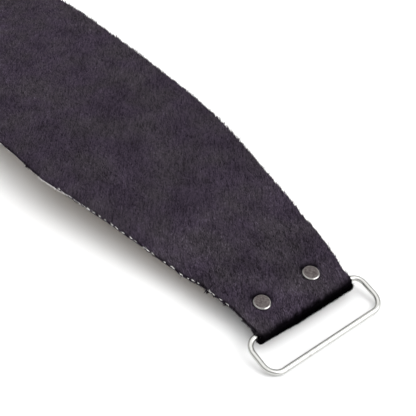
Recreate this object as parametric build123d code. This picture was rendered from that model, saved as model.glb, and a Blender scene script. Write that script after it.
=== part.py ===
"""A climbing skin for a ski: a tapered strip of nap, woven backing and glue that lies glue side down.

Its tip is folded under, round the bar of a wire bail, and closed with two rivets. Its tail carries a cam
buckle, a webbing strap and a wire hook. Millimetres. +X runs from tail to tip, +Y to the left of someone
who looks from tail to tip, +Z up. The origin is the middle of the length and width, on the floor.
The model is drawn with the bail's bar at X = 0 and moved to that origin at the end.
"""

from build123d import *
from math import asin, atan, cos, degrees, radians, sin, tan
import os

# The laminate, from the floor up
GLUE = 0.4
BACKING = 0.6
NAP = 2.0
SKIN = GLUE + BACKING + NAP

# The outline: distances behind the bail's bar, and half widths
TIP_HALF_WIDTH = 31
TIP_SHIFT = -1.8  # the hand-trimmed tip lies a little to the right of the strip's middle
LEFT_SHOULDER = (12, 33.8)
LEFT_TAPER_MIDDLE = (72, 47.4)
LEFT_TAPER_END = (160, 60.7)
LEFT_CORNER = 60
RIGHT_SHOULDER = 16
RIGHT_TAPER_END = (165, 62.6)
RIGHT_CORNER = 15
WIDEST = 366
WIDEST_HALF_WIDTH = 67
WAIST = 926
WAIST_HALF_WIDTH = 54
TAIL_WIDEST = 1486
TAIL_HALF_WIDTH = 61
TAIL_TAPER = 1566
TAIL_TAPER_HALF_WIDTH = 46
TAIL_END = 1616
TAIL_END_HALF_WIDTH = 31

# The side profile: flat on the floor, with the low arch that a ski's tip has pressed into the front
FOLD_LINE = 796  # where the front half folds over the rear half
FOLD_LINE_GAP = 0.2  # on each side of the fold line
FOLD_AXIS_CLEARANCE = 4.0  # from the nap up to the axis of the fold
ARCH_FOOT = 542
ARCH_RISE = 240
ARCH_HEIGHT = 21.7
TIP_CURVE_START = 202
TIP_CURVE = 143.5
TIP_SLOPE = 8.2  # degrees

# The wire bail
WIRE = 1.5  # radius of every wire
BAIL_HALF_WIDTH = 39.3  # to the wire's centre line
BAIL_DEPTH = 21.7
BAIL_REAR_CORNER = 6.5
BAIL_FRONT_CORNER = 7.5
BAIL_SHIFT = -2.3

# The fold round the bail
SLEEVE_BORE = 1.58
SLEEVE = 1.8  # outer radius
SLEEVE_HALF_LENGTH = 29
POCKET = 1.85  # inner radius of the glue where it goes round the sleeve
ROLL = POCKET + SKIN
STIFFENER = 1.2
STIFFENER_HALF_WIDTH = 29
FLAP_END = 32  # behind the bar
LIFT_LENGTH = 24  # over which the strip steps up onto the folded flap
POCKET_OPENING = 18  # degrees, where the strip rises over the bar
POCKET_BEND = 5

# Rivets: a head sunk into the nap on a shank, and a cap on the other side
RIVET_HALF_SPACING = 17.3
RIVET_SHIFT = -2.2
TIP_RIVET = 13.4  # behind the bar
SHANK = 1.95
RIVET_HOLE = 2.0
HEAD = 4.75
HEAD_THICKNESS = 1.2
HEAD_BEVEL = 0.45
HEAD_SUNK = 0.4
CAP = 4.0
CAP_THICKNESS = 0.9
CAP_SUNK = 0.5
DIMPLE_CLEARANCE = 0.3

# The tail: distances ahead of its end
TAIL_LIFT = 1.6
TAIL_FLAT = 66
TAIL_STEP = 50
PATCH = 0.8
PATCH_LENGTH = 58
PATCH_HALF_WIDTH = 29
TAIL_CAP_THICKNESS = 0.6
PLATE = 1.5
PLATE_FRONT = 46
PLATE_REAR = -4
TAIL_RIVET = 37
FLANGE_REAR = 27
FLANGE_HALF_WIDTH = 25
FLANGE_CORNER = 5
BUCKLE_HALF_WIDTH = 14.5
EAR = 1.5
EAR_FRONT = 24
EAR_HEIGHT = 12
EAR_CORNER = 6
PIN_X = 13
PIN_HEIGHT = 7.6  # above the plate
PIN_CLEARANCE = 0.05
PIN_HEAD = 2.6
PIN_HEAD_THICKNESS = 0.8

# The cam lever, about its pin
LEVER_SIDE_GAP = 0.3
SPRING_SPACE = 4.4
HUB = 4.2
CAM_REACH = 5.9
CAM_SWEEP = 35  # degrees of cam behind its lowest point
TAB_LENGTH = 31
TAB_THICKNESS = 2
TAB_SLOPE = 8
TAB_CORNER = 5
TEETH = 3
TOOTH_GAP = 0.45
SPRING_RADIUS = 2.4
SPRING_WIRE = 0.4  # radius
SPRING_PITCH = 1.0
SPRING_TURNS = 3
SPRING_LEG = 4

# The strap
STRAP_HALF_WIDTH = 10
STRAP = 1.5
STRAP_CLEARANCE = 0.1
STRAP_FREE_END = 88
STRAP_LEVEL_END = -34
STRAP_SLOPE = 12
STRAP_BEND = 30
STRAP_HIGH_RUN = 26
STITCHED_PLY = 22
PLY_GAP = 0.1
LOOP = 1.65  # inner radius round the hook's bar
LOOP_OPENING = 20
LOOP_BEND = 6
STITCH_LENGTH = 2.2
STITCH_WIDTH = 0.5
STITCH_PROUD = 0.15
STITCH_ROWS = 5
STITCH_ROW_PITCH = 4
STITCHES = 4
STITCH_PITCH = 4.5

# The hook
HOOK_HALF_WIDTH = 14.5
HOOK_ARM = 24
HOOK_LIP = 19
HOOK_HEIGHT = 11
HOOK_CORNER = 3.5
HOOK_TURN = 5.4
HOOK_SLEEVE_BORE = 1.55
HOOK_SLEEVE = 2.5
HOOK_SLEEVE_HALF_LENGTH = 9


def run(length):
    return ("run", length, 0)


def turn(radius, angle):
    """A turn of so many degrees, positive to the left."""
    return ("turn", radius, angle)


def step(height, length):
    """Two equal and opposite turns that climb by height over length and end in the first direction."""
    angle = 2 * degrees(atan(abs(height) / length))
    radius = length / (2 * sin(radians(angle)))
    sign = 1 if height > 0 else -1
    return [turn(radius, sign * angle), turn(radius, -sign * angle)]


def beside(point, heading, distance):
    """The point so far to the left of a point on a path."""
    h = radians(heading)
    return (point[0] - distance * sin(h), point[1] + distance * cos(h))


def follow(start, heading, steps, offset=0):
    """The edges, in the XZ plane, of a line beside a path, with the point and heading where the path ends."""
    point, edges = start, []
    for kind, size, angle in steps:
        first = beside(point, heading, offset)
        if kind == "run":
            h = radians(heading)
            point = (point[0] + size * cos(h), point[1] + size * sin(h))
            last = beside(point, heading, offset)
            edges.append(Line((first[0], 0, first[1]), (last[0], 0, last[1])))
        else:
            side = size if angle > 0 else -size
            centre = beside(point, heading, side)
            middle = beside(centre, heading + angle / 2, offset - side)
            heading += angle
            point = beside(centre, heading, -side)
            last = beside(point, heading, offset)
            arc = ThreePointArc((first[0], 0, first[1]), (middle[0], 0, middle[1]), (last[0], 0, last[1]))
            edges.append(arc)
    return edges, point, heading


def ribbon(start, heading, steps, low, high, half_width):
    """A strip along a path, from low to high on its left."""
    inner = follow(start, heading, steps, low)[0]
    outer = follow(start, heading, steps, high)[0]
    ends = [Line(inner[0] @ 0, outer[0] @ 0), Line(inner[-1] @ 1, outer[-1] @ 1)]
    face = Face(Wire(inner + outer + ends))
    return extrude(face, amount=half_width, dir=(0, 1, 0), both=True)


def cylinder(radius, length, at, direction):
    """A cylinder that starts at a point and runs along a direction."""
    return extrude(Plane(origin=at, z_dir=direction) * Circle(radius), amount=length)


def headed(radius, thickness, bevel, at, direction):
    """A flat round head with a bevelled rim, that starts at a point."""
    head = cylinder(radius, thickness, at, direction)
    rim = head.edges().sort_by(Axis(at, direction))[-1]
    return chamfer(rim, bevel)


def wire_frame(plane, points, radii):
    """A closed wire, symmetric about the plane's XZ plane, from the points of its left half."""
    path = FilletPolyline(*points, radius=radii)
    half = sweep(Plane(origin=path @ 0, z_dir=path % 0) * Circle(WIRE), path=path)
    return plane * (half + mirror(half, about=Plane.XZ))


# The tip's own frame: its origin is the bail's bar, its X runs forward along the slope of the tip
slope = radians(TIP_SLOPE)
opening = radians(POCKET_OPENING)
pocket_climb = POCKET * (1 + cos(opening)) - STIFFENER - POCKET_BEND * (1 - cos(opening))
pocket_run = pocket_climb / sin(opening)
pocket_mouth = (POCKET_BEND + POCKET) * sin(opening) + pocket_run * cos(opening)
glued_run = FLAP_END + 1 - pocket_mouth
straight_tip = (TIP_CURVE_START - TIP_CURVE - ROLL * sin(slope)) / cos(slope)
tip_run = straight_tip - LIFT_LENGTH - FLAP_END - 1
bar_height = ARCH_HEIGHT - TIP_CURVE * tan(slope / 2) - straight_tip * sin(slope) + ROLL * cos(slope)
bail_tilt = asin((bar_height - WIRE) / BAIL_DEPTH)
tip_plane = Plane(
    origin=(0, 0, bar_height), x_dir=(cos(slope), 0, -sin(slope)), z_dir=(sin(slope), 0, cos(slope))
)
bail_plane = Plane(
    origin=(0, BAIL_SHIFT, bar_height),
    x_dir=(cos(bail_tilt), 0, -sin(bail_tilt)),
    z_dir=(sin(bail_tilt), 0, cos(bail_tilt)),
)
fold_axis_height = SKIN + FOLD_AXIS_CLEARANCE

# Places at the tail
tail_x = -TAIL_END
plate_z = TAIL_LIFT + SKIN
plate_top = plate_z + PLATE
pin_x = tail_x + PIN_X
pin_z = plate_top + PIN_HEIGHT
strap_z = plate_top + STRAP_CLEARANCE + STRAP / 2
loop_radius = LOOP + STRAP / 2
hook_z = HOOK_SLEEVE + HOOK_HEIGHT
ply_offset = (STRAP + PLY_GAP) / 2
strap_slope = radians(STRAP_SLOPE)
strap_climb = hook_z - ply_offset - strap_z
slope_run = (strap_climb - 2 * STRAP_BEND * (1 - cos(strap_slope))) / sin(strap_slope)
loop_angle = radians(LOOP_OPENING)
loop_climb = loop_radius * cos(loop_angle) - ply_offset - LOOP_BEND * (1 - cos(loop_angle))
loop_run = loop_climb / sin(loop_angle)
loop_reach = (LOOP_BEND + loop_radius) * sin(loop_angle) + loop_run * cos(loop_angle)
slope_reach = slope_run * cos(strap_slope) + 2 * STRAP_BEND * sin(strap_slope)
hook_x = tail_x + STRAP_LEVEL_END - slope_reach - STRAP_HIGH_RUN - loop_reach
hook_plane = Plane(origin=(hook_x, 0, hook_z), x_dir=(1, 0, 0), z_dir=(0, 0, 1))


def front_layer(low, high):
    """One layer of the front half, from the fold line to the end of the flap under the tip."""
    steps = [
        run(FOLD_LINE - FOLD_LINE_GAP - ARCH_FOOT),
        *step(ARCH_HEIGHT, ARCH_RISE),
        run(ARCH_FOOT - ARCH_RISE - TIP_CURVE_START),
        turn(TIP_CURVE / sin(slope), -TIP_SLOPE),
        run(tip_run),
        *step(SKIN + STIFFENER, LIFT_LENGTH),
        run(glued_run),
        turn(POCKET_BEND, POCKET_OPENING),
        run(pocket_run),
        turn(POCKET, -180 - POCKET_OPENING),
        run(FLAP_END),
    ]
    return ribbon((FOLD_LINE_GAP - FOLD_LINE, 0), 0, steps, low, high, 1.2 * WIDEST_HALF_WIDTH)


def rear_layer(low, high):
    """One layer of the rear half, from the lifted end of the tail to the fold line."""
    level = TAIL_END - FOLD_LINE - FOLD_LINE_GAP - TAIL_FLAT - TAIL_STEP
    steps = [run(TAIL_FLAT), *step(-TAIL_LIFT, TAIL_STEP), run(level)]
    return ribbon((tail_x, TAIL_LIFT), 0, steps, low, high, 1.2 * WIDEST_HALF_WIDTH)


def long_side(side, taper):
    """The edges of one side of the outline, from the end of the tip's taper to the tail."""
    widest = (-WIDEST, side * WIDEST_HALF_WIDTH)
    waist = (-WAIST, side * WAIST_HALF_WIDTH)
    tail = (-TAIL_WIDEST, side * TAIL_HALF_WIDTH)
    lead = (widest[0] - taper[0], 2 * (widest[1] - taper[1]))
    end = [tail, (-TAIL_TAPER, side * TAIL_TAPER_HALF_WIDTH), (tail_x - 1, side * TAIL_END_HALF_WIDTH)]
    curve = Spline(taper, widest, waist, tail, tangents=[lead, (-1, 0)])
    return [curve, Line(*end[:2]), Line(*end[1:])]


def outline():
    """The plan of the trimmed strip, as a tall prism."""
    front = ROLL + 1
    tip_left, tip_right = TIP_SHIFT + TIP_HALF_WIDTH, TIP_SHIFT - TIP_HALF_WIDTH
    shoulder = (-LEFT_SHOULDER[0], LEFT_SHOULDER[1])
    middle = (-LEFT_TAPER_MIDDLE[0], LEFT_TAPER_MIDDLE[1])
    left_taper = (-LEFT_TAPER_END[0], LEFT_TAPER_END[1])
    right_taper = (-RIGHT_TAPER_END[0], -RIGHT_TAPER_END[1])
    left = [
        Line((front, tip_left), (0, tip_left)),
        Line((0, tip_left), shoulder),
        ThreePointArc(shoulder, middle, left_taper),
        *long_side(1, left_taper),
    ]
    right = [
        Line((front, tip_right), (-RIGHT_SHOULDER, tip_right)),
        Line((-RIGHT_SHOULDER, tip_right), right_taper),
        *long_side(-1, right_taper),
    ]
    ends = [Line(left[0] @ 0, right[0] @ 0), Line(left[-1] @ 1, right[-1] @ 1)]
    plan = Face(Wire(left + right + ends))
    for corner, radius in ((left_taper, LEFT_CORNER), (right_taper, RIGHT_CORNER)):
        near = plan.vertices().sort_by_distance(corner)[0]
        plan = fillet(near, radius)
    return extrude(plan, amount=3 * ARCH_HEIGHT, dir=(0, 0, 1), both=True)


def rivet_places(shift):
    return [shift - RIVET_HALF_SPACING, shift + RIVET_HALF_SPACING]


def tip_drills(radius, low, high):
    """Cylinders through the tip at its two rivets, between two heights above the folded flap."""
    return [
        tip_plane * cylinder(radius, high - low, (-TIP_RIVET, y, low - ROLL), (0, 0, 1))
        for y in rivet_places(RIVET_SHIFT)
    ]


def tail_drills(radius, low, high):
    """Cylinders through the tail at its two rivets, between two heights above the floor."""
    x = tail_x + TAIL_RIVET
    return [cylinder(radius, high - low, (x, y, low), (0, 0, 1)) for y in rivet_places(0)]


tip_stack = 2 * SKIN + STIFFENER
head_base = tip_stack - HEAD_SUNK
tail_head_base = plate_top
prism = outline()
holes = tip_drills(RIVET_HOLE, -SKIN, tip_stack + SKIN) + tail_drills(RIVET_HOLE, -SKIN, plate_top + SKIN)
dimples = tip_drills(HEAD + DIMPLE_CLEARANCE, head_base, tip_stack + SKIN)
dimples += tip_drills(CAP + DIMPLE_CLEARANCE, -SKIN, CAP_SUNK)


def skin_layers(make, name):
    """The three layers of one half of the strip."""
    glue = make(0, GLUE) & prism
    backing = make(GLUE, GLUE + BACKING) & prism
    nap = make(GLUE + BACKING, SKIN) & prism
    return {
        f"glue_{name}": glue - holes,
        f"backing_{name}": backing - holes,
        f"nap_{name}": nap - holes - dimples,
    }


def tip_parts():
    """What the fold holds: stiffener, sleeve, bail and rivets."""
    rear = -FLAP_END + 1
    front = -pocket_mouth - 0.5
    middle = ((rear + front) / 2, TIP_SHIFT, SKIN + STIFFENER / 2 - ROLL)
    sheet = tip_plane * (Pos(*middle) * Box(front - rear, 2 * STIFFENER_HALF_WIDTH, STIFFENER))
    end = (0, TIP_SHIFT - SLEEVE_HALF_LENGTH, bar_height)
    tube = cylinder(SLEEVE, 2 * SLEEVE_HALF_LENGTH, end, (0, 1, 0))
    bore = cylinder(SLEEVE_BORE, 2 * SLEEVE_HALF_LENGTH, end, (0, 1, 0))
    bail_points = [(0, 0), (0, BAIL_HALF_WIDTH), (BAIL_DEPTH, BAIL_HALF_WIDTH), (BAIL_DEPTH, 0)]
    bail = wire_frame(bail_plane, bail_points, [BAIL_REAR_CORNER, BAIL_FRONT_CORNER])
    rivets, caps = [], []
    for y in rivet_places(RIVET_SHIFT):
        top = (-TIP_RIVET, y, head_base - ROLL)
        bottom = (-TIP_RIVET, y, CAP_SUNK - ROLL)
        shank = cylinder(SHANK, head_base - CAP_SUNK, bottom, (0, 0, 1))
        rivets.append(tip_plane * (shank + headed(HEAD, HEAD_THICKNESS, HEAD_BEVEL, top, (0, 0, 1))))
        caps.append(tip_plane * headed(CAP, CAP_THICKNESS, CAP_THICKNESS / 3, bottom, (0, 0, -1)))
    return {
        "tip_stiffener": sheet - holes,
        "bail_sleeve": tube - bore,
        "tip_bail": bail,
        "tip_rivets": Compound(children=rivets),
        "tip_rivet_caps": Compound(children=caps),
    }


def tail_plate():
    """The stiff patch on the glue, and the buckle's frame on the nap, held by two rivets."""
    patch = Pos(tail_x + PATCH_LENGTH / 2, 0, TAIL_LIFT - PATCH / 2) * Box(PATCH_LENGTH, 2 * PATCH_HALF_WIDTH, PATCH)
    flange_size = (PLATE_FRONT - FLANGE_REAR, 2 * FLANGE_HALF_WIDTH)
    flange = Pos((PLATE_FRONT + FLANGE_REAR) / 2, 0) * RectangleRounded(*flange_size, FLANGE_CORNER)
    tongue_size = (FLANGE_REAR + FLANGE_CORNER - PLATE_REAR, 2 * BUCKLE_HALF_WIDTH)
    tongue = Pos(PLATE_REAR + tongue_size[0] / 2, 0) * Rectangle(*tongue_size)
    plate = Pos(tail_x, 0, plate_z) * extrude(flange + tongue, amount=PLATE)
    ear_length = EAR_FRONT - PLATE_REAR
    side = Rectangle(ear_length, EAR_HEIGHT + PLATE)
    side = fillet(side.vertices().sort_by(Axis.Y)[-2:], EAR_CORNER)
    middle = (tail_x + PLATE_REAR + ear_length / 2, 0, plate_z + (EAR_HEIGHT + PLATE) / 2)
    for y in (BUCKLE_HALF_WIDTH, EAR - BUCKLE_HALF_WIDTH):
        place = Plane(origin=(middle[0], y, middle[2]), x_dir=(1, 0, 0), z_dir=(0, -1, 0))
        plate += extrude(place * side, amount=EAR)
    pin_bore = cylinder(WIRE + PIN_CLEARANCE, 4 * BUCKLE_HALF_WIDTH, (pin_x, -2 * BUCKLE_HALF_WIDTH, pin_z), (0, 1, 0))
    rivets, caps = [], []
    for y in rivet_places(0):
        place = (tail_x + TAIL_RIVET, y)
        shank = cylinder(SHANK, tail_head_base - TAIL_LIFT + PATCH, (*place, TAIL_LIFT - PATCH), (0, 0, 1))
        rivets.append(shank + headed(HEAD, HEAD_THICKNESS, HEAD_BEVEL, (*place, tail_head_base), (0, 0, 1)))
        cap = headed(CAP, TAIL_CAP_THICKNESS, TAIL_CAP_THICKNESS / 3, (*place, TAIL_LIFT - PATCH), (0, 0, -1))
        caps.append(cap)
    return {
        "tail_patch": patch - holes,
        "buckle_frame": plate - holes - pin_bore,
        "tail_rivets": Compound(children=rivets),
        "tail_rivet_caps": Compound(children=caps),
    }


def buckle_works():
    """The pin with its two heads, the cam lever that turns on it, and the spring that closes the lever."""
    half = BUCKLE_HALF_WIDTH + LEVER_SIDE_GAP / 3
    pin = cylinder(WIRE, 2 * half, (pin_x, -half, pin_z), (0, 1, 0))
    for side in (-1, 1):
        pin += headed(PIN_HEAD, PIN_HEAD_THICKNESS, PIN_HEAD_THICKNESS / 3, (pin_x, side * half, pin_z), (0, side, 0))

    inner = BUCKLE_HALF_WIDTH - EAR
    right, left = LEVER_SIDE_GAP - inner, inner - SPRING_SPACE
    axis_plane = Plane(origin=(pin_x, right, pin_z), x_dir=(1, 0, 0), z_dir=(0, -1, 0))
    sweep_angle = radians(CAM_SWEEP)
    foot = (0, -CAM_REACH)
    heel = (-CAM_REACH * sin(sweep_angle), -CAM_REACH * cos(sweep_angle))
    middle = (-CAM_REACH * sin(sweep_angle / 2), -CAM_REACH * cos(sweep_angle / 2))
    cam = Face(Wire([Line((0, 0), foot), ThreePointArc(foot, middle, heel), Line(heel, (0, 0))]))
    wedge = Face(Wire(Polyline((0, 0), (HUB, 0), foot, close=True)))
    tab = Rot(0, 0, TAB_SLOPE) * (Pos(TAB_LENGTH / 2, HUB - TAB_THICKNESS / 2) * Rectangle(TAB_LENGTH, TAB_THICKNESS))
    lever = extrude(axis_plane * (Circle(HUB) + tab), amount=left - right, dir=(0, 1, 0))
    for part in (cam, wedge):
        lever += extrude(axis_plane * part, amount=left - right, dir=(0, 1, 0))
    reach = TAB_LENGTH * cos(radians(TAB_SLOPE))
    plan = Pos(pin_x, (left + right) / 2) * RectangleRounded(2 * reach, left - right, TAB_CORNER)
    lever &= extrude(plan, amount=2 * pin_z)
    lever -= cylinder(WIRE + PIN_CLEARANCE, 4 * inner, (pin_x, -2 * inner, pin_z), (0, 1, 0))
    for i in range(TEETH):
        bite = radians(CAM_SWEEP * (i + 0.5) / TEETH)
        place = (pin_x - CAM_REACH * sin(bite), -2 * inner, pin_z - CAM_REACH * cos(bite))
        lever -= cylinder(TOOTH_GAP, 4 * inner, place, (0, 1, 0))

    coil = Helix(pitch=SPRING_PITCH, height=SPRING_PITCH * SPRING_TURNS, radius=SPRING_RADIUS)
    spring = sweep(Plane(origin=coil @ 0, z_dir=coil % 0) * Circle(SPRING_WIRE), path=coil)
    for end, side in ((0, -1), (1, 1)):
        spring += cylinder(SPRING_WIRE, SPRING_LEG, coil @ end, (0, side, 0))
    start = left + (SPRING_SPACE - SPRING_PITCH * SPRING_TURNS) / 2
    place = Plane(origin=(pin_x, start, pin_z), x_dir=(0, 0, -1), z_dir=(0, 1, 0))
    return {"pivot_pin": pin, "cam_lever": lever, "cam_spring": place * spring}


def strap_parts():
    """The webbing strap, looped round the hook's bar, and the stitches that close the loop."""
    steps = [
        run(STRAP_FREE_END - STRAP_LEVEL_END),
        turn(STRAP_BEND, -STRAP_SLOPE),
        run(slope_run),
        turn(STRAP_BEND, STRAP_SLOPE),
        run(STRAP_HIGH_RUN),
        turn(LOOP_BEND, LOOP_OPENING),
        run(loop_run),
        turn(loop_radius, -180 - 2 * LOOP_OPENING),
        run(loop_run),
        turn(LOOP_BEND, LOOP_OPENING),
        run(STITCHED_PLY),
    ]
    start = (tail_x + STRAP_FREE_END, strap_z)
    strap = ribbon(start, 180, steps, -STRAP / 2, STRAP / 2, STRAP_HALF_WIDTH)
    height = 2 * STRAP + PLY_GAP + 2 * STITCH_PROUD
    stitches = []
    for row in range(STITCH_ROWS):
        x = hook_x + loop_reach + STITCHED_PLY / 2 + (row - (STITCH_ROWS - 1) / 2) * STITCH_ROW_PITCH
        for i in range(STITCHES):
            y = (i - (STITCHES - 1) / 2) * STITCH_PITCH
            stitches.append(Pos(x, y, hook_z) * Box(STITCH_WIDTH, STITCH_LENGTH, height))
    return {"tail_strap": strap, "strap_stitching": Compound(children=stitches)}


def hook_parts():
    """The wire hook that goes round the ski's tail, and the rubber sleeve on its lip."""
    lip = -HOOK_ARM + HOOK_LIP
    points = [
        (0, 0, 0),
        (0, HOOK_HALF_WIDTH, 0),
        (-HOOK_ARM, HOOK_HALF_WIDTH, 0),
        (-HOOK_ARM, HOOK_HALF_WIDTH, -HOOK_HEIGHT),
        (lip, HOOK_HALF_WIDTH, -HOOK_HEIGHT),
        (lip, 0, -HOOK_HEIGHT),
    ]
    hook = wire_frame(hook_plane, points, [HOOK_CORNER, HOOK_TURN, HOOK_TURN, HOOK_CORNER])
    base = (lip, -HOOK_SLEEVE_HALF_LENGTH, -HOOK_HEIGHT)
    tube = cylinder(HOOK_SLEEVE, 2 * HOOK_SLEEVE_HALF_LENGTH, base, (0, 1, 0))
    bore = cylinder(HOOK_SLEEVE_BORE, 2 * HOOK_SLEEVE_HALF_LENGTH, base, (0, 1, 0))
    return {"tail_hook": hook, "hook_sleeve": hook_plane * (tube - bore)}


nodes = {
    **skin_layers(front_layer, "front"),
    **skin_layers(rear_layer, "rear"),
    **tip_parts(),
    **tail_plate(),
    **buckle_works(),
    **strap_parts(),
    **hook_parts(),
}
boxes = [shape.bounding_box() for shape in nodes.values()]
rear_end, front_end = min(b.min.X for b in boxes), max(b.max.X for b in boxes)
middle_x = (rear_end + front_end) / 2
middle_y = (min(b.min.Y for b in boxes) + max(b.max.Y for b in boxes)) / 2
os.makedirs("parts", exist_ok=True)
for name, shape in nodes.items():
    export_step(Pos(-middle_x, -middle_y, 0) * shape, f"parts/{name}.step")
print("length", front_end - rear_end, "middle", middle_x, middle_y, "lowest", min(b.min.Z for b in boxes))
print("bail bar", -middle_x, bar_height, "tilt", degrees(bail_tilt))
print("fold line", -FOLD_LINE - middle_x, fold_axis_height)
print("cam pin", pin_x - middle_x, pin_z)
print("hook bar", hook_x - middle_x, hook_z)
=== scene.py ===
import math
from collections import namedtuple

import bpy
import numpy as np
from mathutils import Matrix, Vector

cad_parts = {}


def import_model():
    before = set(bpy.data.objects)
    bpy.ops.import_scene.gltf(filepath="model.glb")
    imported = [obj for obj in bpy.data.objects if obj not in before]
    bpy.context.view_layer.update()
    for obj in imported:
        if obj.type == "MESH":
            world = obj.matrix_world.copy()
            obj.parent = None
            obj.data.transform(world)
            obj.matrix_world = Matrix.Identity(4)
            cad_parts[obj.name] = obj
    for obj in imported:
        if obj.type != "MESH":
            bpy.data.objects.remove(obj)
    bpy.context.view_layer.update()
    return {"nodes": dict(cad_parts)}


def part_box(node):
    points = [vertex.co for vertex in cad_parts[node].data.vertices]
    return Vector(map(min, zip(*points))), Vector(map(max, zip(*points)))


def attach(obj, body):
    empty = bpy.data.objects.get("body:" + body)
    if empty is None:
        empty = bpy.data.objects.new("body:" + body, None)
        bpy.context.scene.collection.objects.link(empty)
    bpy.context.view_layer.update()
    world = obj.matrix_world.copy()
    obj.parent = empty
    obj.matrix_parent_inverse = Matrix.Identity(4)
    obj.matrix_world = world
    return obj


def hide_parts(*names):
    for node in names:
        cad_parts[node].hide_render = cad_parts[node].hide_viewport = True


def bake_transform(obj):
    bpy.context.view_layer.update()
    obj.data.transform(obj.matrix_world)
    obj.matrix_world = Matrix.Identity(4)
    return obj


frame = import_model()

# Lengths are in millimetres, and x is measured from the bail's bar, until points() turns them into the row
# frame's metres
MM = 0.001
bar_x, _, bar_z = sum(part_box("bail_sleeve"), Vector()) / 2

# The sides, seen from the tail
LEFT, RIGHT = 1, -1

# The laminate, upwards from its underside
GLUE = 0.4
BACKING_TOP = 1.0
NAP_TOP = 3.0

# The side profile
FOLD_LINE = -796
ARCH_FOOT = -542
ARCH_RISE = 240
ARCH_HEIGHT = 21.7
TIP_CURVE_START = -202
TIP_CURVE = 143.5
TIP_SLOPE = math.radians(8.2)
TAIL_END = -1616
TAIL_LIFT = 1.6
TAIL_FLAT = 66
TAIL_STEP = 50

# The fold round the bail
POCKET_RADIUS = 1.85
POCKET_OPENING = math.radians(18)
POCKET_BEND = 5
STIFFENER = 1.2
ROLL_RADIUS = POCKET_RADIUS + NAP_TOP
LIFT_LENGTH = 24
FLAP_END = 32
FLAP_TRIM = 2.8

# The rivets at the tip
TIP_RIVET = -13.4
RIVET_SHIFT = -2.2
RIVET_HALF_SPACING = 17.3
HEAD_RADIUS = 4.75
CAP_RADIUS = 4.0

# The strap: its line from its free end through the buckle and round the hook's wire, and its weave
STRAP_HALF_WIDTH = 10
STRAP_THICKNESS = 1.5
STRAP_FREE_END = 88
STRAP_LEVEL = 34
STRAP_SLOPE = math.radians(12)
SLOPE_BEND = 30
STITCHED_UPPER = 26
STITCHED_LOWER = 22
LOOP_RADIUS = 1.65
LOOP_BEND = 6
LOOP_OPENING = math.radians(20)
PLY_GAP = 0.1
PLATE = 1.5
HOOK_WIRE_RADIUS = 1.5
STRAP_PITCH = 0.42
STRAP_COLUMNS = 50
RIB = 1.25
KNUCKLE = 2.1
WEAVE_RELIEF = 0.17

# The stitches that close the strap's loop
STITCH_ROWS = 5
STITCHES_IN_ROW = 4
STITCH_RINGS = 9
STITCH_SIDES = 8
STITCH_RADIUS = 0.30
STITCH_HALF = 1.25

# Where the nap lies: towards the tail and a little to the left
LAY = np.array([-0.80, 0.42, 0.0])


def straight(length):
    """A step of a line: its length and its curvature."""
    return (length, 0)


def turned(radius, angle):
    """An arc through so many radians, positive to the left."""
    return (radius * abs(angle), math.copysign(1 / radius, angle))


def stepped(height, length):
    """Two equal and opposite arcs that climb by height over length."""
    angle = 2 * math.atan(abs(height) / length)
    radius = length / (2 * math.sin(angle))
    sign = math.copysign(1, height)
    return [turned(radius, sign * angle), turned(radius, -sign * angle)]


# The most a line turns between two of its stations, in radians
MOST_TURN = 0.14


def walk(x, z, heading, steps, pitch):
    """Stations along a line in the XZ plane: their x, z, heading and distance from the start."""
    found, total = [(x, z, heading, 0)], 0
    for length, bend in steps:
        left = length
        while left > 1e-6:
            hop = min(pitch(x), MOST_TURN / abs(bend)) if bend else pitch(x)
            hop = left if left < 1.5 * hop else hop
            after = heading + bend * hop
            if bend:
                x += (math.sin(after) - math.sin(heading)) / bend
                z += (math.cos(heading) - math.cos(after)) / bend
            else:
                x += hop * math.cos(heading)
                z += hop * math.sin(heading)
            heading = after
            left -= hop
            total += hop
            found.append((x, z, heading, total))
    return np.array(found).T


FINE_PITCH = 1.0
COARSE_PITCH = 4.0
FINE_FROM = -345
FINE_BESIDE_FOLD = 16


def cloth_pitch(x):
    """How far apart the stations of the cloth are: close at the tip and at the fold line."""
    fine = x > FINE_FROM or abs(x - FOLD_LINE) < FINE_BESIDE_FOLD
    return FINE_PITCH if fine else COARSE_PITCH


def cloth_line():
    """The underside of the cloth, from the tail over the arch and round the bail to the end of the flap."""
    cosine, sine = math.cos(POCKET_OPENING), math.sin(POCKET_OPENING)
    climb = POCKET_RADIUS * (1 + cosine) - STIFFENER - POCKET_BEND * (1 - cosine)
    slope_run = climb / sine
    mouth = (POCKET_BEND + POCKET_RADIUS) * sine + slope_run * cosine
    tip = (-TIP_CURVE_START - TIP_CURVE - ROLL_RADIUS * math.sin(TIP_SLOPE)) / math.cos(TIP_SLOPE)
    level = ARCH_FOOT - TAIL_END - TAIL_FLAT - TAIL_STEP
    over_flap = FLAP_END + 1
    steps = [
        straight(TAIL_FLAT),
        *stepped(-TAIL_LIFT, TAIL_STEP),
        straight(level),
        *stepped(ARCH_HEIGHT, ARCH_RISE),
        straight(TIP_CURVE_START - ARCH_FOOT - ARCH_RISE),
        turned(TIP_CURVE / math.sin(TIP_SLOPE), -TIP_SLOPE),
        straight(tip - LIFT_LENGTH - over_flap),
        *stepped(NAP_TOP + STIFFENER, LIFT_LENGTH),
        straight(over_flap - mouth),
        turned(POCKET_BEND, POCKET_OPENING),
        straight(slope_run),
        turned(POCKET_RADIUS, -math.pi - POCKET_OPENING),
        straight(FLAP_END),
    ]
    return walk(TAIL_END, TAIL_LIFT, 0, steps, cloth_pitch)


CLOTH_X, CLOTH_Z, CLOTH_HEADING, CLOTH_S = cloth_line()
TOP_SIDE = slice(0, CLOTH_X.argmax())
ROLL_END = CLOTH_S[-1] - FLAP_END


def cloth_x(s):
    """The x of places at distances along the cloth."""
    return np.interp(s, CLOTH_S, CLOTH_X)


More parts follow.
